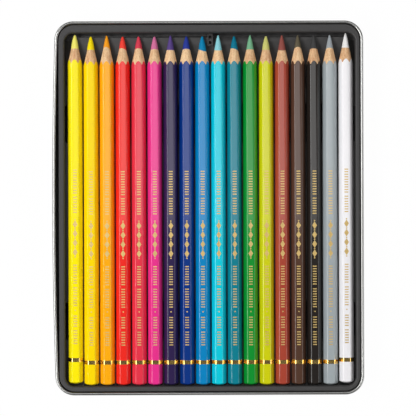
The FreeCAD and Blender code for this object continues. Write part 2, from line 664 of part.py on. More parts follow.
def make_lacquer(label, index):
    """Lacquer coat: a hexagonal sleeve with a domed end, cut to scallops by the sharpener."""
    body = new_body(label)
    add_hexagon_pad(body, "dims.pencil_flats", "0", "dims.pencil_edge_radius")
    inside = new_sketch(body, f"{label}_inside", "XY_Plane", z="(dims.end_cap - dims.bond_gap)")
    draw_hexagon(inside, COAT_BORE_FLATS, f"({CASING_EDGE_RADIUS} + dims.bond_gap)")
    add_pocket(body, f"{label}_sleeve", inside, "dims.pencil_length", reverse=True)
    round_end(body)
    sharpen(body)
    place_pencil(body, index)
    doc.recompute()
    return body


def round_end(body):
    """Turn the dipped end to a dome that touches the sketch's origin."""
    waste = new_sketch(body, f"{body.Label}_dome", "XZ_Plane")
    radius = measure("dims.dome_radius")
    reach_x = "(dims.pencil_flats / 2 / cos(30))"
    reach = measure(reach_x)
    angle = math.asin(reach / radius)
    middle = FreeCAD.Vector(0, radius, 0)
    brim = FreeCAD.Vector(reach, radius * (1 - math.cos(angle)), 0)
    foot = FreeCAD.Vector(reach, 0, 0)
    start_angle = -math.pi / 2
    waste.addGeometry(Part.ArcOfCircle(Part.Circle(middle, Z_AXIS, radius), start_angle, start_angle + angle))
    waste.addGeometry(Part.LineSegment(brim, foot))
    waste.addGeometry(Part.LineSegment(foot, FreeCAD.Vector()))
    dome, side, base = range(3)
    constrain(waste, "Coincident", dome, START, *SKETCH_ORIGIN)
    constrain(waste, "PointOnObject", dome, CENTRE, SKETCH_Y_AXIS)
    constrain(waste, "Radius", dome, formula="dims.dome_radius")
    constrain(waste, "Coincident", dome, END, side, START)
    constrain(waste, "Coincident", side, END, base, START)
    constrain(waste, "Coincident", base, END, *SKETCH_ORIGIN)
    constrain(waste, "Vertical", side)
    pin(waste, base, START, reach_x, None)
    add_groove(body, f"{body.Label}_end", waste)


def make_pencils():
    """The three pieces of every pencil in the row."""
    pieces = []
    for index, (colour, tip) in enumerate(PENCILS):
        stem = f"pencil_{index + 1:02d}_{colour}"
        pieces.append(make_core(f"{stem}_core", index, tip))
        pieces.append(make_casing(f"{stem}_casing", index))
        pieces.append(make_lacquer(f"{stem}_lacquer", index))
    return pieces


def check_document(pieces):
    """Stop if any feature failed or any piece isn't one valid solid."""
    failed = [item.Label for item in doc.Objects if {"Invalid", "Error"} & set(item.State)]
    for piece in pieces:
        shape = piece.Shape
        if shape.isNull() or not shape.isValid() or len(shape.Solids) != 1:
            failed.append(piece.Label)
    if failed:
        raise RuntimeError(f"failed: {', '.join(failed)}")


def export_pieces(pieces):
    os.makedirs(OUTPUT_FOLDER, exist_ok=True)
    for piece in pieces:
        piece.Shape.exportStep(os.path.join(OUTPUT_FOLDER, f"{piece.Label}.step"))


all_pieces = [make_tin(), make_insert()] + make_pencils()
doc.recompute()
check_document(all_pieces)
export_pieces(all_pieces)
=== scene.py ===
"""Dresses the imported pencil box: a drawn tin, a formed plastic insert and a row of sharpened pencils.

Metres, +Z up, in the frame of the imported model: +X runs along the row of pencils and +Y points from
their domed ends to their points.
"""
import math

import bmesh
import bpy
from bpy.props import FloatProperty, FloatVectorProperty, PointerProperty
from mathutils import Matrix, Vector


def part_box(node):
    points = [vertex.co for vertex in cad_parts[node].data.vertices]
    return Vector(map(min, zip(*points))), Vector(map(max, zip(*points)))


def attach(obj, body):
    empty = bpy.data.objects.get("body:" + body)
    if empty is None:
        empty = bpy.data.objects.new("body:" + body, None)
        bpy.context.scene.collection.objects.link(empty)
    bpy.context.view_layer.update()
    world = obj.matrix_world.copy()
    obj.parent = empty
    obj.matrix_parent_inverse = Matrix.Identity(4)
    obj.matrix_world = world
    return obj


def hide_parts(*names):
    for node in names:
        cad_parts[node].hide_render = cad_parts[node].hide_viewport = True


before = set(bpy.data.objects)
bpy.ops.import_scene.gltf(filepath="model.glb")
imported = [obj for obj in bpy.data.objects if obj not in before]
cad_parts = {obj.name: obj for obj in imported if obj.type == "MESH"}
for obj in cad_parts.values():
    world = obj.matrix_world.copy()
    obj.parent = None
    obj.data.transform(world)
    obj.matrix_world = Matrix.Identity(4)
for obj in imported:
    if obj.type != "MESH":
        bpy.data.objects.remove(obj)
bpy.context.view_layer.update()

bl_info = {
    "name": "Coloured pencil box",
    "version": (1, 0, 0),
    "blender": (4, 5, 0),
    "location": "3D View > Sidebar > Pencil box",
    "description": "Makes the finished pieces of a coloured pencil box and the stage it is shown on",
    "category": "Object",
}

MM = 0.001

# The pencils from left to right: colour, sRGB of the lacquer, sRGB of the core, state of the point,
# tone of the wood from pale to dark, how far the core stands off the axis, across and up, in mm, and
# how far the foil ring lies past its usual place, in mm.
PENCILS = (
    ("lemon", "F9E60A", "FAE66C", "worn", 0.70, 0.00, 0.00, 0.45),
    ("yellow", "FBD508", "FFD900", "worn", 0.60, 0.00, -0.05, 0.00),
    ("orange", "FAAA0C", "FF9C18", "fine", 0.30, 0.11, -0.35, 0.00),
    ("scarlet", "ED281E", "F04033", "worn", 0.35, 0.09, -0.20, 0.00),
    ("crimson", "E33448", "D23C50", "worn", 0.25, 0.00, -0.20, 0.00),
    ("pink", "E6308A", "D06E9A", "worn", 0.30, 0.00, -0.10, 0.00),
    ("violet", "2D1F4B", "564182", "fine", 0.05, 0.00, 0.00, 0.00),
    ("blue", "053280", "263894", "worn", 0.10, 0.00, -0.13, 0.00),
    ("azure", "0082BE", "0080AE", "worn", 0.10, 0.12, 0.10, 0.00),
    ("turquoise", "05C8DA", "8CD0D8", "fine", 0.20, 0.00, 0.06, 0.00),
    ("teal", "067D8E", "00738E", "worn", 0.25, 0.11, -0.13, 0.00),
    ("green", "08902E", "74B088", "fine", 0.45, 0.00, -0.05, 0.00),
    ("lime", "CDCE08", "CDCC74", "worn", 0.60, 0.00, 0.00, 0.00),
    ("russet", "A84432", "924E46", "fine", 0.50, 0.00, 0.10, 0.00),
    ("brown", "52382B", "605846", "fine", 0.30, 0.00, -0.30, 0.00),
    ("black", "241F1C", "404040", "fine", 0.75, 0.00, -0.13, 0.00),
    ("grey", "A1A9AC", "9DA4A8", "fine", 0.30, 0.00, -0.20, 0.00),
    ("white", "F0EEF0", "FCF9F4", "fine", 0.55, 0.00, 0.00, 0.10),
)


def linear(text):
    """The linear red, green and blue of an sRGB hex colour."""
    values = []
    for place in (0, 2, 4):
        share = int(text[place:place + 2], 16) / 255
        values.append(share / 12.92 if share <= 0.04045 else ((share + 0.055) / 1.055) ** 2.4)
    return values


def length_property(name, description, millimetres):
    """A length that is written in millimetres and kept in metres."""
    return FloatProperty(
        name=name, description=description, default=millimetres * MM, min=0, precision=5, unit="LENGTH",
    )


def colour_property(name, description, text):
    """A colour that is written as sRGB hex and kept linear."""
    return FloatVectorProperty(
        name=name, description=description, default=linear(text), min=0, max=1, subtype="COLOR",
    )


def power_property(name, description, watts):
    return FloatProperty(name=name, description=description, default=watts, min=0, unit="POWER")


class PencilSettings(bpy.types.PropertyGroup):
    edge_radius: length_property("Edge radius", "Rounding of the six long edges", 0.6)
    coat: length_property("Lacquer", "Thickness of the lacquer on each flat", 0.15)
    bond_gap: length_property("Bond gap", "Between glued or coated faces", 0.02)
    end_cap: length_property("Dipped end", "Depth of lacquer over the square-cut casing", 1.25)
    dome_radius: length_property("Dome radius", "Curve of the dipped end", 6.9)
    dome_rim: length_property("Dome rim", "Rounding where the dipped end meets the sides", 0.28)
    core_diameter: length_property("Core", "Diameter of the pigment core", 3.8)
    fine_point: length_property("Fine point", "Rounding of a fresh point", 0.32)
    worn_point: length_property("Worn point", "Rounding of a used point", 0.46)
    cone_angle: FloatProperty(
        name="Cone angle", description="Half angle of the sharpened cone", default=math.radians(12.5),
        subtype="ANGLE",
    )
    cedar_pale: colour_property("Pale cedar", "Lightest streaks of the sharpened wood", "F5D2A3")
    cedar_dark: colour_property("Dark cedar", "Darkest streaks of the sharpened wood", "BC7948")


class FoilSettings(bpy.types.PropertyGroup):
    height: length_property(
        "Foil height", "How far the marks stand off the lacquer and the foil goes into it", 0.015,
    )
    ring_place: length_property("Ring place", "Domed end to the middle of the foil ring", 11.7)
    ring_width: length_property("Ring width", "Foil ring along the pencil", 2.0)
    ring_height: length_property("Ring height", "How far the foil ring stands off the flats", 0.08)
    ring_edge: length_property("Ring edge radius", "Rounding of the ring over the long edges", 1.08)
    mark_width: length_property("Mark width", "Stamped marks across the pencil", 2.6)
    ring_colour: colour_property("Ring foil", "Rolled foil of the ring", "F0CC7A")
    mark_colour: colour_property("Mark foil", "Stamped foil of the marks", "E3C480")


class TinSettings(bpy.types.PropertyGroup):
    sheet: length_property("Sheet", "Tinplate thickness", 0.3)
    corner_radius: length_property("Corner radius", "Inside corners of the wall", 8.0)
    floor_radius: length_property("Floor bend", "Bend from the floor to the wall, outside", 2.0)
    curl_diameter: length_property("Curl", "Diameter of the rolled rim", 1.6)
    wall_bow: length_property(
        "Wall bow", "How far the wall beside the first pencil bows out at its middle", 1.36,
    )
    colour: colour_property("Tinplate", "Bright drawn tinplate", "A6A6A4")


class InsertSettings(bpy.types.PropertyGroup):
    colour: colour_property("Insert", "Formed plastic sheet", "393838")


class StageSettings(bpy.types.PropertyGroup):
    view_width: length_property("View width", "Width of the picture at the rim of the tin", 209.66)
    key_power: power_property("Key lamp", "Power of the left lamp", 10.5)
    fill_power: power_property("Fill lamp", "Power of the right lamp", 3.3)
    top_power: power_property("Top lamp", "Power of the lamp above", 3.9)
    surround: FloatProperty(name="Surround", description="Brightness of the room", default=0.10, min=0)
    floor_colour: colour_property("Floor", "Floor that the box stands on", "F4F4F4")


class PencilColours(bpy.types.PropertyGroup):
    """A lacquer and a core colour for each pencil of the row."""
    __annotations__ = {}
    for pencil_colour, coat_text, core_text, *_ in PENCILS:
        __annotations__[f"{pencil_colour}_lacquer"] = colour_property(
            f"{pencil_colour.title()} lacquer", "Gloss lacquer of this pencil", coat_text)
        __annotations__[f"{pencil_colour}_core"] = colour_property(
            f"{pencil_colour.title()} core", "Pigment core of this pencil", core_text)


class PencilBoxSettings(bpy.types.PropertyGroup):
    pencil: PointerProperty(type=PencilSettings)
    foil: PointerProperty(type=FoilSettings)
    tin: PointerProperty(type=TinSettings)
    insert: PointerProperty(type=InsertSettings)
    colours: PointerProperty(type=PencilColours)
    stage: PointerProperty(type=StageSettings)


class Pencil:
    """Where one pencil of the row lies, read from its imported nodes."""

    def __init__(self, number, row, settings):
        self.colour, _, _, point, self.wood_tone, across, up, ring_shift = row
        self.body = f"pencil_{number:02d}_{self.colour}"
        low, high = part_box(f"{self.body}_lacquer")
        self.x = (low.x + high.x) / 2
        self.z = (low.z + high.z) / 2
        self.flats = high.z - low.z
        self.end_y = low.y
        self.drift = Vector((across * MM, 0, up * MM))
        self.ring_shift = ring_shift * MM
        self.slope = math.tan(settings.cone_angle)
        self.point_radius = settings.fine_point if point == "fine" else settings.worn_point
        point_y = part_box(f"{self.body}_core")[1].y
        self.apex_y = point_y + self.point_radius * (1 / math.sin(settings.cone_angle) - 1)

    def arm(self, place):
        """The part of a place that points away from the pencil's axis."""
        return Vector((place.x - self.x, 0, place.z - self.z))

    def at(self, arm, y):
        """The place at y along the pencil that stands off the axis by arm."""
        return Vector((self.x + arm.x, y, self.z + arm.z))

    def on_cone(self, arm):
        """The place on the sharpened cone that stands off the axis by arm."""
        return self.at(arm, self.apex_y - arm.length / self.slope)


def every_pencil(settings):
    return [Pencil(number, row, settings.pencil) for number, row in enumerate(PENCILS, start=1)]


QUARTER_TURN = math.radians(90)
HEX_SIDES = 6
HEX_HALF_TURN = math.pi / HEX_SIDES
HEX_CORNER_STEPS = 6
HEX_FLAT_CUTS = 9
BEVEL_PROFILE = 0.5
SHARP_ANGLE = math.radians(35)
MERGE_DISTANCE = 0.002 * MM


def hexagon_ring(bm, pencil, y, flats, edge_radius):
    """The edges of a round-cornered hexagon across the pencil, with a flat on top."""
    upright = Matrix.Rotation(QUARTER_TURN, 4, "X") @ Matrix.Rotation(HEX_HALF_TURN, 4, "Z")
    bmesh.ops.create_circle(
        bm, cap_ends=True, segments=HEX_SIDES, radius=flats / 2 / math.cos(HEX_HALF_TURN),
        matrix=Matrix.Translation((pencil.x, y, pencil.z)) @ upright,
    )
    bmesh.ops.bevel(
        bm, geom=bm.verts[:], affect="VERTICES", offset_type="OFFSET", segments=HEX_CORNER_STEPS,
        offset=edge_radius * math.tan(HEX_HALF_TURN), profile=BEVEL_PROFILE, material=-1,
    )
    bmesh.ops.delete(bm, geom=bm.faces[:], context="FACES_ONLY")
    flat_edges = sorted(bm.edges, key=lambda edge: edge.calc_length())[-HEX_SIDES:]
    bmesh.ops.subdivide_edges(bm, edges=flat_edges, cuts=HEX_FLAT_CUTS)
    return bm.edges[:]


def extrude_ring(bm, edges, place):
    """Extrude a ring of edges, put each new vertex where place says and return the new ring."""
    made = bmesh.ops.extrude_edge_only(bm, edges=edges)["geom"]
    verts = {item for item in made if isinstance(item, bmesh.types.BMVert)}
    for vert in verts:
        vert.co = place(vert.co.copy())
    return [item for item in made if isinstance(item, bmesh.types.BMEdge) and verts.issuperset(item.verts)]


def set_ring(edges, place):
    """Put each vertex of a ring of edges where place says."""
    for vert in {vert for edge in edges for vert in edge.verts}:
        vert.co = place(vert.co.copy())


def finish_piece(bm, name, body, slot, material, *nodes):
    """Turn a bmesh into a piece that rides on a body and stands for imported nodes."""
    bmesh.ops.remove_doubles(bm, verts=bm.verts[:], dist=MERGE_DISTANCE)
    bmesh.ops.recalc_face_normals(bm, faces=bm.faces[:])
    mesh = bpy.data.meshes.new(name)
    bm.to_mesh(mesh)
    bm.free()
    mesh.shade_smooth()
    mesh.set_sharp_from_angle(angle=SHARP_ANGLE)
    mesh.materials.append(material)
    piece = bpy.data.objects.new(name, mesh)
    bpy.context.scene.collection.objects.link(piece)
    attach(piece, body)
    if nodes:
        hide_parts(*nodes)
    return piece


# Sockets of a colour Mix node that share a name with others, by their place.
MIX_A = 6
MIX_B = 7
MIX_RESULT = 2


def add_node(tree, kind, inputs=(), **settings):
    """Add a node with its settings; inputs pairs a socket's name or place with a value or an output."""
    node = tree.nodes.new(kind)
    for name, value in settings.items():
        setattr(node, name, value)
    for socket, value in dict(inputs).items():
        if isinstance(value, bpy.types.NodeSocket):
            tree.links.new(value, node.inputs[socket])
        else:
            node.inputs[socket].default_value = value
    return node


def new_material(name):
    """An empty material, with its node tree."""
    material = bpy.data.materials.new(name)
    material.use_nodes = True
    material.node_tree.nodes.clear()
    return material, material.node_tree


def shade(tree, **inputs):
    """End a material with a principled shader; underscores in a socket's name stand for spaces."""
    sockets = {name.replace("_", " "): value for name, value in inputs.items()}
    shader = add_node(tree, "ShaderNodeBsdfPrincipled", sockets)
    add_node(tree, "ShaderNodeOutputMaterial", {"Surface": shader.outputs["BSDF"]})


def grain_scale(millimetres):
    """The scale of a noise on Object coordinates whose features are about this wide."""
    return 1 / (millimetres * MM)


def rgba(colour, gain=1.0):
    """A colour for a node's socket, lightened or darkened by a gain."""
    return [min(1.0, channel * gain) for channel in colour] + [1.0]


BURNISH_FROM = 8.4 * MM
BURNISH_TO = 9.6 * MM
SATIN_ROUGHNESS = 0.24
DRAW_STRETCH = 12


def tinplate_material(colour):
    # Cold-drawn tinplate: a bright grey metal whose drawing marks run round the wall and soften its glints.
    material, tree = new_material("drawn_tinplate")
    place = add_node(tree, "ShaderNodeTexCoord").outputs["Object"]
    lines = add_node(tree, "ShaderNodeMapping", {"Vector": place, "Scale": (1, 1, DRAW_STRETCH)})
    marks = add_node(tree, "ShaderNodeTexNoise", {
        "Vector": lines.outputs["Vector"], "Scale": grain_scale(millimetres=3.0), "Detail": 5.0,
    })
    stain = add_node(tree, "ShaderNodeTexNoise", {
        "Vector": place, "Scale": grain_scale(millimetres=14), "Detail": 4.0,
    })
    tone = add_node(tree, "ShaderNodeMix", {
        "Factor": stain.outputs["Fac"], MIX_A: rgba(colour, 0.92), MIX_B: rgba(colour, 1.06),
    }, data_type="RGBA")
    rough = add_node(tree, "ShaderNodeMapRange", {
        "Value": marks.outputs["Fac"], "To Min": 0.24, "To Max": 0.34,
    })
    # Rolling burnishes the rim, and the wall and the floor below it keep the satin of the sheet.
    height = add_node(tree, "ShaderNodeSeparateXYZ", {"Vector": place})
    satin = add_node(tree, "ShaderNodeMapRange", {
        "Value": height.outputs["Z"], "From Min": BURNISH_FROM, "From Max": BURNISH_TO,
        "To Min": SATIN_ROUGHNESS, "To Max": 0.0,
    })
    finish = add_node(tree, "ShaderNodeMath", {
        0: rough.outputs["Result"], 1: satin.outputs["Result"],
    }, operation="ADD")
    bump = add_node(tree, "ShaderNodeBump", {
        "Height": marks.outputs["Fac"], "Strength": 0.02, "Distance": 0.01 * MM,
    })
    shade(tree, Base_Color=tone.outputs[MIX_RESULT], Metallic=1.0, Roughness=finish.outputs["Value"],
          Normal=bump.outputs["Normal"])
    return material


def insert_material(colour):
    # Thermoformed polystyrene sheet: dark, with a fine matt grain and slow thick and thin clouds.
    # The grain is drawn coarser than the real one, so that it shows.
    material, tree = new_material("thermoformed_polystyrene")
    place = add_node(tree, "ShaderNodeTexCoord").outputs["Object"]
    grain = add_node(tree, "ShaderNodeTexNoise", {
        "Vector": place, "Scale": grain_scale(millimetres=0.5), "Detail": 3.0,
    })
    cloud = add_node(tree, "ShaderNodeTexNoise", {
        "Vector": place, "Scale": grain_scale(millimetres=9), "Detail": 3.0,
    })
    tone = add_node(tree, "ShaderNodeMix", {
        "Factor": cloud.outputs["Fac"], MIX_A: rgba(colour, 0.85), MIX_B: rgba(colour, 1.15),
    }, data_type="RGBA")
    rough = add_node(tree, "ShaderNodeMapRange", {
        "Value": cloud.outputs["Fac"], "To Min": 0.46, "To Max": 0.60,
    })
    bump = add_node(tree, "ShaderNodeBump", {
        "Height": grain.outputs["Fac"], "Strength": 0.25, "Distance": 0.06 * MM,
    })
    shade(tree, Base_Color=tone.outputs[MIX_RESULT], Roughness=rough.outputs["Result"],
          Normal=bump.outputs["Normal"], IOR=1.44)
    return material


GRAIN_STRETCH = 0.09
STREAK_CONTRAST = 1.8
STREAK_SHIFT = -0.77
TONE_WEIGHT = 0.55
BLADE_SPACING = 0.55


def cedar_material(pale, dark):
    # Incense cedar cut by a sharpener: straight streaks along the grain, crossed by faint blade marks.
    material, tree = new_material("sharpened_cedar")
    place = add_node(tree, "ShaderNodeTexCoord").outputs["Object"]
    along = add_node(tree, "ShaderNodeMapping", {"Vector": place, "Scale": (1, GRAIN_STRETCH, 1)})
    streaks = add_node(tree, "ShaderNodeTexNoise", {
        "Vector": along.outputs["Vector"], "Scale": grain_scale(millimetres=0.9),
        "Detail": 6.0, "Roughness": 0.6,
    })
    pores = add_node(tree, "ShaderNodeTexNoise", {
        "Vector": along.outputs["Vector"], "Scale": grain_scale(millimetres=0.22), "Detail": 2.0,
    })
    piece_tone = add_node(tree, "ShaderNodeAttribute", attribute_name="wood_tone")
    share = add_node(tree, "ShaderNodeMath", {
        0: streaks.outputs["Fac"], 1: STREAK_CONTRAST, 2: STREAK_SHIFT,
    }, operation="MULTIPLY_ADD")
    depth = add_node(tree, "ShaderNodeMath", {
        0: piece_tone.outputs["Fac"], 1: TONE_WEIGHT, 2: share.outputs[0],
    }, operation="MULTIPLY_ADD", use_clamp=True)
    wood = add_node(tree, "ShaderNodeMix", {"Factor": depth.outputs[0], MIX_A: rgba(pale), MIX_B: rgba(dark)},
                    data_type="RGBA")
    pore_share = add_node(tree, "ShaderNodeMapRange", {
        "Value": pores.outputs["Fac"], "From Min": 0.52, "From Max": 0.70, "To Max": 0.5,
    })
    tone = add_node(tree, "ShaderNodeMix", {
        "Factor": pore_share.outputs["Result"], MIX_A: wood.outputs[MIX_RESULT], MIX_B: rgba(dark, 0.55),
    }, data_type="RGBA")
    # A wave texture has about pi bands to each unit of its scale.
    blade = add_node(tree, "ShaderNodeTexWave", {
        "Vector": place, "Scale": grain_scale(BLADE_SPACING) / math.pi, "Distortion": 1.5, "Detail": 2.0,
    }, bands_direction="Y")
    bump = add_node(tree, "ShaderNodeBump", {
        "Height": blade.outputs["Fac"], "Strength": 0.35, "Distance": 0.05 * MM,
    })
    shade(tree, Base_Color=tone.outputs[MIX_RESULT], Roughness=0.62, Normal=bump.outputs["Normal"])
    return material


DIP_STRETCH = 0.25
USUAL_MIRROR = 0.5
# The yellow and orange coats mirror less than the rest: their share of the usual mirror.
MIRROR_SHARE = {"lemon": 0.45, "yellow": 0.3, "orange": 0.7}


def lacquer_material(name, colour):
    # Dipped pencil lacquer: a saturated gloss with faint orange peel, and fine rubbing in the box.
    material, tree = new_material(f"{name}_nitro_lacquer")
    place = add_node(tree, "ShaderNodeTexCoord").outputs["Object"]
    along = add_node(tree, "ShaderNodeMapping", {"Vector": place, "Scale": (1, DIP_STRETCH, 1)})
    peel = add_node(tree, "ShaderNodeTexNoise", {
        "Vector": along.outputs["Vector"], "Scale": grain_scale(millimetres=1.4), "Detail": 2.0,
    })
    rub = add_node(tree, "ShaderNodeTexNoise", {
        "Vector": along.outputs["Vector"], "Scale": grain_scale(millimetres=0.5),
        "Detail": 5.0, "Roughness": 0.65,
    })
    tone = add_node(tree, "ShaderNodeMix", {
        "Factor": rub.outputs["Fac"], MIX_A: rgba(colour, 0.93), MIX_B: rgba(colour, 1.06),
    }, data_type="RGBA")
    rough = add_node(tree, "ShaderNodeMapRange", {
        "Value": rub.outputs["Fac"], "To Min": 0.10, "To Max": 0.18,
    })
    bump = add_node(tree, "ShaderNodeBump", {
        "Height": peel.outputs["Fac"], "Strength": 0.06, "Distance": 0.04 * MM,
    })
    shade(tree, Base_Color=tone.outputs[MIX_RESULT], Roughness=rough.outputs["Result"],
          Normal=bump.outputs["Normal"], IOR=1.6,
          Specular_IOR_Level=USUAL_MIRROR * MIRROR_SHARE.get(name, 1.0))
    return material


def core_material(name, colour):
    # Pressed pigment in wax: speckled and scored by the sharpener, its sheen dulled by loose pigment.
    # The specks are drawn coarser than real pigment, so that they show.
    material, tree = new_material(f"{name}_pigment_wax")
    place = add_node(tree, "ShaderNodeTexCoord").outputs["Object"]
    speckle = add_node(tree, "ShaderNodeTexNoise", {
        "Vector": place, "Scale": grain_scale(millimetres=0.35), "Detail": 4.0, "Roughness": 0.7,
    })
    tone = add_node(tree, "ShaderNodeMix", {
        "Factor": speckle.outputs["Fac"], MIX_A: rgba(colour, 0.72), MIX_B: rgba(colour, 1.22),
    }, data_type="RGBA")
    bump = add_node(tree, "ShaderNodeBump", {
        "Height": speckle.outputs["Fac"], "Strength": 0.4, "Distance": 0.08 * MM,
    })
    shade(tree, Base_Color=tone.outputs[MIX_RESULT], Roughness=0.55, Normal=bump.outputs["Normal"], IOR=1.25)
    return material


def foil_material(name, colour, least_rough, most_rough, crumple):
    # Hot-stamped gilt foil: a thin bright metal, slightly crumpled, that glints and is worn thin in places.
    material, tree = new_material(f"{name}_gilt_foil")
    place = add_node(tree, "ShaderNodeTexCoord").outputs["Object"]
    wear = add_node(tree, "ShaderNodeTexNoise", {
        "Vector": place, "Scale": grain_scale(millimetres=0.8), "Detail": 4.0,
    })
    tone = add_node(tree, "ShaderNodeMix", {
        "Factor": wear.outputs["Fac"], MIX_A: rgba(colour, 0.75), MIX_B: rgba(colour, 1.1),
    }, data_type="RGBA")
    rough = add_node(tree, "ShaderNodeMapRange", {
        "Value": wear.outputs["Fac"], "To Min": least_rough, "To Max": most_rough,
    })
    bump = add_node(tree, "ShaderNodeBump", {
        "Height": wear.outputs["Fac"], "Strength": crumple, "Distance": 0.1 * MM,
    })
    shade(tree, Base_Color=tone.outputs[MIX_RESULT], Metallic=1.0, Roughness=rough.outputs["Result"],
          Normal=bump.outputs["Normal"])
    return material


CURL_STEPS = 24
BEND_STEPS = 8
CORNER_STEPS = 20
BOW_STEPS = 24
SEAM_DISTANCE = 0.02 * MM


class MakeTin(bpy.types.Operator):
    """Sweep the drawn wall and its curled rim round the tin and close the floor"""
    bl_idname = "pencil_box.make_tin"
    bl_label = "Make tin"

    def execute(self, context):
        tin = context.scene.pencil_box.tin
        low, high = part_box("tin_base")
        wall_x = high.x - tin.curl_diameter
        turn_y = high.y - tin.curl_diameter - tin.corner_radius
        right_x = wall_x - tin.corner_radius
        left_x = low.x + tin.wall_bow + tin.curl_diameter + tin.corner_radius
        bow_reach = (turn_y ** 2 - tin.wall_bow ** 2) / (2 * tin.wall_bow)
        bow_half = math.atan2(turn_y, bow_reach)
        bow_end = math.pi / 2 - bow_half
        bm = bmesh.new()
        section = self.draw_section(bm, tin, wall_x, -turn_y, high.z)
        section = self.sweep_straight(bm, section, (0, 2 * turn_y, 0))
        section = self.sweep_turn(bm, section, (right_x, turn_y, 0), math.pi / 2, CORNER_STEPS)
        section = self.sweep_straight(bm, section, (left_x - right_x, 0, 0))
        section = self.sweep_turn(bm, section, (left_x, turn_y, 0), bow_end, CORNER_STEPS)
        section = self.sweep_turn(bm, section, (left_x + bow_reach, 0, 0), 2 * bow_half, BOW_STEPS)
        section = self.sweep_turn(bm, section, (left_x, -turn_y, 0), bow_end, CORNER_STEPS)
        section = self.sweep_straight(bm, section, (right_x - left_x, 0, 0))
        self.sweep_turn(bm, section, (right_x, -turn_y, 0), math.pi / 2, CORNER_STEPS)
        bmesh.ops.remove_doubles(bm, verts=bm.verts[:], dist=SEAM_DISTANCE)
        for level in (0, tin.sheet):
            open_edges = [edge for edge in bm.edges if edge.is_boundary]
            rim = [edge for edge in open_edges if abs(edge.verts[0].co.z - level) < tin.sheet / 2]
            bmesh.ops.edgeloop_fill(bm, edges=rim)
        finish_piece(bm, "tin_shell", "tin", "tinplate", tinplate_material(tin.colour), "tin_base")
        return {"FINISHED"}

    def sweep_straight(self, bm, section, run):
        return extrude_ring(bm, section, lambda place: place + Vector(run))

    def sweep_turn(self, bm, section, centre, angle, steps):
        swept = bmesh.ops.spin(bm, geom=section, cent=centre, axis=(0, 0, 1), angle=angle, steps=steps)
        return [item for item in swept["geom_last"] if isinstance(item, bmesh.types.BMEdge)]

    def draw_section(self, bm, tin, wall_x, y, top_z):
        """The edges of the wall's section: up the outside, round the curl and down the inside."""
        curl_radius = tin.curl_diameter / 2
        curl = Vector((wall_x + curl_radius, y, top_z - curl_radius))
        bend = Vector((wall_x + tin.sheet - tin.floor_radius, y, tin.floor_radius))
        pen = bm.verts.new((bend.x, y, 0))
        pen = self.draw_arc(bm, pen, bend, -90, BEND_STEPS)
        pen = self.draw_line(bm, pen, wall_x + tin.sheet, curl.z)
        pen = self.draw_arc(bm, pen, curl, 270, CURL_STEPS)
        pen = self.draw_line(bm, pen, curl.x, curl.z - curl_radius)
        pen = self.draw_arc(bm, pen, curl, -270, CURL_STEPS)
        pen = self.draw_line(bm, pen, wall_x, bend.z)
        self.draw_arc(bm, pen, bend, 90, BEND_STEPS)
        return bm.edges[:]

    def draw_line(self, bm, pen, x, z):
        end = bmesh.ops.extrude_vert_indiv(bm, verts=[pen])["verts"][0]
        end.co = (x, pen.co.y, z)
        return end

    def draw_arc(self, bm, pen, centre, degrees, steps):
        swept = bmesh.ops.spin(
            bm, geom=[pen], cent=centre, axis=(0, 1, 0), angle=math.radians(degrees), steps=steps,
        )
        return [item for item in swept["geom_last"] if isinstance(item, bmesh.types.BMVert)][0]


INSERT_WELD = 0.001 * MM


class MakeInsert(bpy.types.Operator):
    """Weld the formed insert, smooth its bends and give it its grained plastic"""
    bl_idname = "pencil_box.make_insert"
    bl_label = "Make insert"

    def execute(self, context):
        insert = context.scene.pencil_box.insert
        bm = bmesh.new()
        bm.from_mesh(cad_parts["insert_tray"].data)
        bmesh.ops.remove_doubles(bm, verts=bm.verts[:], dist=INSERT_WELD)
        piece = finish_piece(
            bm, "insert_shell", "insert", "insert_plastic", insert_material(insert.colour), "insert_tray",
        )
        piece.modifiers.new("flat_faces_stay_flat", "WEIGHTED_NORMAL").keep_sharp = True
        return {"FINISHED"}


DOME_SHARES = (0.86, 0.7, 0.5, 0.3, 0.12)
DOME_RIM_STEPS = 3


class MakeLacquers(bpy.types.Operator):
    """Dip each pencil: a coat with a domed end, scalloped where the cone cuts it"""
    bl_idname = "pencil_box.make_lacquers"
    bl_label = "Make lacquers"

    def execute(self, context):
        settings = context.scene.pencil_box
        for pencil in every_pencil(settings):
            bm = self.dip(pencil, settings.pencil)
            colour = getattr(settings.colours, f"{pencil.colour}_lacquer")
            finish_piece(
                bm, f"{pencil.body}_coat", pencil.body, f"lacquer_{pencil.colour}",
                lacquer_material(pencil.colour, colour), f"{pencil.body}_lacquer",
            )
        return {"FINISHED"}

    def dip(self, pencil, sizes):
        bm = bmesh.new()
        rim = hexagon_ring(bm, pencil, pencil.end_y, pencil.flats, sizes.edge_radius)

        def on_dome(arm):
            rise = sizes.dome_radius - math.sqrt(sizes.dome_radius ** 2 - arm.length ** 2)
            return pencil.at(arm, pencil.end_y + rise)

        set_ring(rim, lambda place: on_dome(pencil.arm(place)))
        ring = rim
        reached = 1.0
        for share in DOME_SHARES:
            step = share / reached
            ring = extrude_ring(bm, ring, lambda place: on_dome(pencil.arm(place) * step))
            reached = share
        bmesh.ops.edgeloop_fill(bm, edges=ring)
        inner_flats = pencil.flats - 2 * (sizes.coat - sizes.bond_gap)
        shrink = inner_flats / pencil.flats
        ring = extrude_ring(bm, rim, lambda place: pencil.on_cone(pencil.arm(place)))
        ring = extrude_ring(bm, ring, lambda place: pencil.on_cone(pencil.arm(place) * shrink))
        seat_y = pencil.end_y + sizes.end_cap
        ring = extrude_ring(bm, ring, lambda place: pencil.at(pencil.arm(place), seat_y))
        bmesh.ops.edgeloop_fill(bm, edges=ring)
        bmesh.ops.bevel(
            bm, geom=rim, affect="EDGES", offset_type="OFFSET", offset=sizes.dome_rim,
            segments=DOME_RIM_STEPS, profile=BEVEL_PROFILE, material=-1,
        )
        return bm


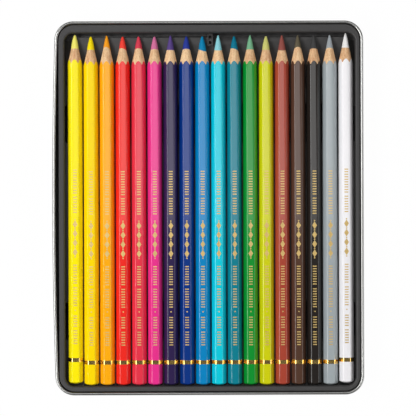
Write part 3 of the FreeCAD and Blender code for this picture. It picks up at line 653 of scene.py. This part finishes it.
CONE_STEPS = 4


class MakeCasings(bpy.types.Operator):
    """Sharpen each wooden casing to its cone and bore it for the core"""
    bl_idname = "pencil_box.make_casings"
    bl_label = "Make casings"

    def execute(self, context):
        settings = context.scene.pencil_box
        cedar = cedar_material(settings.pencil.cedar_pale, settings.pencil.cedar_dark)
        for pencil in every_pencil(settings):
            bm = self.sharpen(pencil, settings.pencil)
            piece = finish_piece(
                bm, f"{pencil.body}_wood", pencil.body, "cedar", cedar, f"{pencil.body}_casing",
            )
            tones = piece.data.attributes.new("wood_tone", "FLOAT", "POINT")
            tones.data.foreach_set("value", [pencil.wood_tone] * len(piece.data.vertices))
        return {"FINISHED"}

    def sharpen(self, pencil, sizes):
        bm = bmesh.new()
        seat_y = pencil.end_y + sizes.end_cap + sizes.bond_gap
        flats = pencil.flats - 2 * sizes.coat
        back = hexagon_ring(bm, pencil, seat_y, flats, sizes.edge_radius - sizes.coat)
        bore = sizes.core_diameter / 2 + sizes.bond_gap
        ring = extrude_ring(bm, back, lambda place: pencil.on_cone(pencil.arm(place)))
        for step in range(CONE_STEPS, 0, -1):

            def towards_bore(place):
                arm = pencil.arm(place)
                rim = arm.normalized() * bore + pencil.drift
                return pencil.on_cone(arm.lerp(rim, 1 / step))

            ring = extrude_ring(bm, ring, towards_bore)
        ring = extrude_ring(bm, ring, lambda place: pencil.at(pencil.arm(place), seat_y))
        bmesh.ops.bridge_loops(bm, edges=back + ring)
        return bm


CORE_SIDES = 48
CORE_STEPS = 8
CORE_SWELL = 0.5
POINT_STEPS = 6


class MakeCores(bpy.types.Operator):
    """Sharpen each pigment core to its rounded point"""
    bl_idname = "pencil_box.make_cores"
    bl_label = "Make cores"

    def execute(self, context):
        settings = context.scene.pencil_box
        for pencil in every_pencil(settings):
            bm = self.sharpen(pencil, settings.pencil)
            colour = getattr(settings.colours, f"{pencil.colour}_core")
            finish_piece(
                bm, f"{pencil.body}_lead", pencil.body, f"core_{pencil.colour}",
                core_material(pencil.colour, colour), f"{pencil.body}_core",
            )
        return {"FINISHED"}

    def sharpen(self, pencil, sizes):
        bm = bmesh.new()
        seat_y = pencil.end_y + sizes.end_cap + sizes.bond_gap
        radius = sizes.core_diameter / 2
        upright = Matrix.Rotation(QUARTER_TURN, 4, "X")
        bmesh.ops.create_circle(
            bm, segments=CORE_SIDES, radius=radius,
            matrix=Matrix.Translation(pencil.at(pencil.drift, seat_y)) @ upright,
        )
        ring = bm.edges[:]
        bmesh.ops.edgeloop_fill(bm, edges=ring)
        ring = extrude_ring(bm, ring, lambda place: pencil.on_cone(pencil.arm(place)))
        point = pencil.point_radius
        centre_y = pencil.apex_y - point / math.sin(sizes.cone_angle)
        neck = point * math.cos(sizes.cone_angle)
        cone_rings = []
        for step in range(CORE_STEPS, 0, -1):

            def towards_neck(place):
                arm = pencil.arm(place)
                return pencil.on_cone(arm.lerp(arm.normalized() * neck, 1 / step))

            ring = extrude_ring(bm, ring, towards_neck)
            cone_rings.append(ring)
        for step in range(1, POINT_STEPS):
            rise = sizes.cone_angle + (QUARTER_TURN - sizes.cone_angle) * step / POINT_STEPS
            reach = point * math.cos(rise)
            y = centre_y + point * math.sin(rise)
            ring = extrude_ring(bm, ring, lambda place: pencil.at(pencil.arm(place).normalized() * reach, y))
        bmesh.ops.edgeloop_fill(bm, edges=ring)
        for index, cone_ring in enumerate(cone_rings, start=1):
            swell = point * CORE_SWELL * math.sin(math.pi * index / (CORE_STEPS + 1))
            set_ring(cone_ring, lambda place: place + pencil.arm(place).normalized() * swell)
        return bm


# The stamped marks: shape, its sides, then in mm the first and the last place from the domed end, the
# spacing and the length of a mark, and its share of the full mark width.
MARK_RUNS = (
    ("bar", 4, 96.4, 108.0, 1.28, 0.55, 0.74),
    ("bar", 4, 86.6, 94.4, 1.28, 0.55, 0.74),
    ("lozenge", 4, 66.5, 81.0, 4.7, 3.9, 0.92),
    ("dot", 10, 64.15, 83.5, 4.7, 0.7, 0.32),
    ("bar", 4, 51.0, 60.0, 1.28, 0.55, 0.74),
    ("bar", 4, 39.6, 48.7, 1.28, 0.55, 0.74),
    ("dot", 10, 37.2, 37.3, 1.0, 0.7, 0.32),
    ("bar", 4, 29.2, 35.0, 1.28, 0.55, 0.74),
    ("bar", 4, 20.5, 27.0, 1.28, 0.55, 0.74),
)


# Least and most roughness of a foil, and how strongly it is crumpled.
RING_FINISH = (0.12, 0.22, 0.28)
MARK_FINISH = (0.30, 0.50, 0.30)


class MakeFoil(bpy.types.Operator):
    """Stamp a foil ring round each pencil and a row of plain marks along its upper flat"""
    bl_idname = "pencil_box.make_foil"
    bl_label = "Make foil"

    def execute(self, context):
        settings = context.scene.pencil_box
        foil = settings.foil
        rolled = foil_material("rolled", foil.ring_colour, *RING_FINISH)
        stamped = foil_material("stamped", foil.mark_colour, *MARK_FINISH)
        for pencil in every_pencil(settings):
            bm = self.stamp_ring(pencil, foil)
            finish_piece(bm, f"{pencil.body}_ring", pencil.body, "gold_foil", rolled)
            bm = bmesh.new()
            for run in MARK_RUNS:
                self.stamp_run(bm, pencil, foil, *run)
            finish_piece(bm, f"{pencil.body}_marks", pencil.body, "gold_foil", stamped)
        return {"FINISHED"}

    def stamp_ring(self, pencil, foil):
        """A closed thin band, rounder than the pencil over its edges and let into the lacquer."""
        bm = bmesh.new()
        first_y = pencil.end_y + foil.ring_place + pencil.ring_shift - foil.ring_width / 2
        outer_flats = pencil.flats + 2 * foil.ring_height
        shrink = (pencil.flats - 2 * foil.height) / outer_flats
        first = hexagon_ring(bm, pencil, first_y, outer_flats, foil.ring_edge)
        ring = extrude_ring(bm, first, lambda place: place + Vector((0, foil.ring_width, 0)))
        ring = extrude_ring(bm, ring, lambda place: pencil.at(pencil.arm(place) * shrink, place.y))
        ring = extrude_ring(bm, ring, lambda place: pencil.at(pencil.arm(place), first_y))
        bmesh.ops.bridge_loops(bm, edges=first + ring)
        return bm

    def stamp_run(self, bm, pencil, foil, shape, sides, first, last, spacing, length, width_share):
        """Thin prisms along the upper flat; a bar lies square to the pencil and the others on a corner."""
        turn = QUARTER_TURN / 2 if shape == "bar" else 0
        reach = 1 / math.sqrt(2) if shape == "bar" else 1 / 2
        size = Matrix.Diagonal((foil.mark_width * width_share, length * MM, 2 * foil.height, 1))
        top_z = pencil.z + pencil.flats / 2
        count = int((last - first) / spacing) + 1
        for index in range(count):
            y = pencil.end_y + (first + index * spacing) * MM
            bmesh.ops.create_cone(
                bm, cap_ends=True, segments=sides, radius1=reach, radius2=reach, depth=1,
                matrix=Matrix.Translation((pencil.x, y, top_z)) @ size @ Matrix.Rotation(turn, 4, "Z"),
            )


FLOOR_REACH = 12.0
FLOOR_DROP = 0.05 * MM
FLOOR_WHITE = 0.98
# Places and sizes of the lamps in metres; each faces the middle of the box.
KEY_PLACE = (-0.66, -0.06, 0.80)
KEY_SIZE = (1.10, 0.40)
FILL_PLACE = (0.85, -0.20, 0.55)
FILL_SIZE = (1.00, 0.35)
TOP_PLACE = (0.00, 0.35, 1.35)
TOP_SIZE = (1.00, 0.75)
SENSOR_WIDTH = 36.0
LENS = 180.0
CAMERA_X = 0.01 * MM
CAMERA_Y = -0.03 * MM
CAMERA_ROLL = math.radians(-0.194)


class MakeStage(bpy.types.Operator):
    """Set the floor, the soft lamps, the room and the camera above the box"""
    bl_idname = "pencil_box.make_stage"
    bl_label = "Make stage"

    def execute(self, context):
        stage = context.scene.pencil_box.stage
        context.scene.view_settings.view_transform = "Standard"
        self.lay_floor(context, stage)
        self.hang_lamp(context, "key_lamp", KEY_PLACE, KEY_SIZE, stage.key_power)
        self.hang_lamp(context, "fill_lamp", FILL_PLACE, FILL_SIZE, stage.fill_power)
        self.hang_lamp(context, "top_lamp", TOP_PLACE, TOP_SIZE, stage.top_power)
        self.paint_room(context, stage)
        self.place_camera(context, stage)
        return {"FINISHED"}

    def lay_floor(self, context, stage):
        bm = bmesh.new()
        bmesh.ops.create_grid(
            bm, x_segments=1, y_segments=1, size=FLOOR_REACH, matrix=Matrix.Translation((0, 0, -FLOOR_DROP)),
        )
        mesh = bpy.data.meshes.new("floor")
        bm.to_mesh(mesh)
        bm.free()
        mesh.materials.append(self.floor_material(stage.floor_colour))
        floor = bpy.data.objects.new("floor", mesh)
        context.scene.collection.objects.link(floor)

    def floor_material(self, colour):
        # White paper sweep: it catches the soft shadow, and shows white to the camera and in reflections.
        material, tree = new_material("white_paper_sweep")
        path = add_node(tree, "ShaderNodeLightPath")
        mirrored = add_node(tree, "ShaderNodeMath", {
            0: path.outputs["Is Glossy Ray"], 1: path.outputs["Is Transmission Ray"],
        }, operation="MAXIMUM")
        shown = add_node(tree, "ShaderNodeMath", {
            0: path.outputs["Is Camera Ray"], 1: mirrored.outputs[0],
        }, operation="MAXIMUM")
        share = add_node(tree, "ShaderNodeMath", {0: shown.outputs[0], 1: FLOOR_WHITE}, operation="MULTIPLY")
        paper = add_node(tree, "ShaderNodeBsdfDiffuse", {"Color": rgba(colour)})
        white = add_node(tree, "ShaderNodeEmission", {"Strength": 1.0})
        mixed = add_node(tree, "ShaderNodeMixShader", {
            "Fac": share.outputs[0], 1: paper.outputs["BSDF"], 2: white.outputs["Emission"],
        })
        add_node(tree, "ShaderNodeOutputMaterial", {"Surface": mixed.outputs["Shader"]})
        return material

    def hang_lamp(self, context, name, place, size, power):
        """An area lamp that faces the middle of the box."""
        data = bpy.data.lights.new(name, "AREA")
        data.shape = "RECTANGLE"
        data.size, data.size_y = size
        data.energy = power
        lamp = bpy.data.objects.new(name, data)
        lamp.location = place
        lamp.rotation_euler = (-Vector(place)).to_track_quat("-Z", "Y").to_euler()
        context.scene.collection.objects.link(lamp)

    def paint_room(self, context, stage):
        room = bpy.data.worlds.new("studio_room")
        room.use_nodes = True
        room.node_tree.nodes.clear()
        glow = add_node(room.node_tree, "ShaderNodeBackground", {
            "Color": (1, 1, 1, 1), "Strength": stage.surround,
        })
        add_node(room.node_tree, "ShaderNodeOutputWorld", {"Surface": glow.outputs["Background"]})
        context.scene.world = room

    def place_camera(self, context, stage):
        """A camera straight above the box, framed at the middle of the rim's curl."""
        rim_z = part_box("tin_base")[1].z - context.scene.pencil_box.tin.curl_diameter / 2
        data = bpy.data.cameras.new("camera")
        data.sensor_width = SENSOR_WIDTH
        data.lens = LENS
        camera = bpy.data.objects.new("camera", data)
        camera.location = (CAMERA_X, CAMERA_Y, rim_z + stage.view_width * LENS / SENSOR_WIDTH)
        camera.rotation_euler = (0, 0, CAMERA_ROLL)
        context.scene.collection.objects.link(camera)
        context.scene.camera = camera


OPERATORS = (MakeTin, MakeInsert, MakeLacquers, MakeCasings, MakeCores, MakeFoil, MakeStage)


class PencilBoxPanel(bpy.types.Panel):
    """Lists the steps that make the pencil box"""
    bl_idname = "VIEW3D_PT_pencil_box"
    bl_label = "Pencil box"
    bl_space_type = "VIEW_3D"
    bl_region_type = "UI"
    bl_category = "Pencil box"

    def draw(self, context):
        for operator in OPERATORS:
            self.layout.operator(operator.bl_idname)


CLASSES = (
    PencilSettings, FoilSettings, TinSettings, InsertSettings, StageSettings, PencilColours,
    PencilBoxSettings, *OPERATORS, PencilBoxPanel,
)


def register():
    for item in CLASSES:
        bpy.utils.register_class(item)
    bpy.types.Scene.pencil_box = PointerProperty(type=PencilBoxSettings)


def unregister():
    del bpy.types.Scene.pencil_box
    for item in reversed(CLASSES):
        bpy.utils.unregister_class(item)


def main():
    register()
    bpy.ops.pencil_box.make_tin()
    bpy.ops.pencil_box.make_insert()
    bpy.ops.pencil_box.make_lacquers()
    bpy.ops.pencil_box.make_casings()
    bpy.ops.pencil_box.make_cores()
    bpy.ops.pencil_box.make_foil()
    bpy.ops.pencil_box.make_stage()


if __name__ == "__main__":
    main()
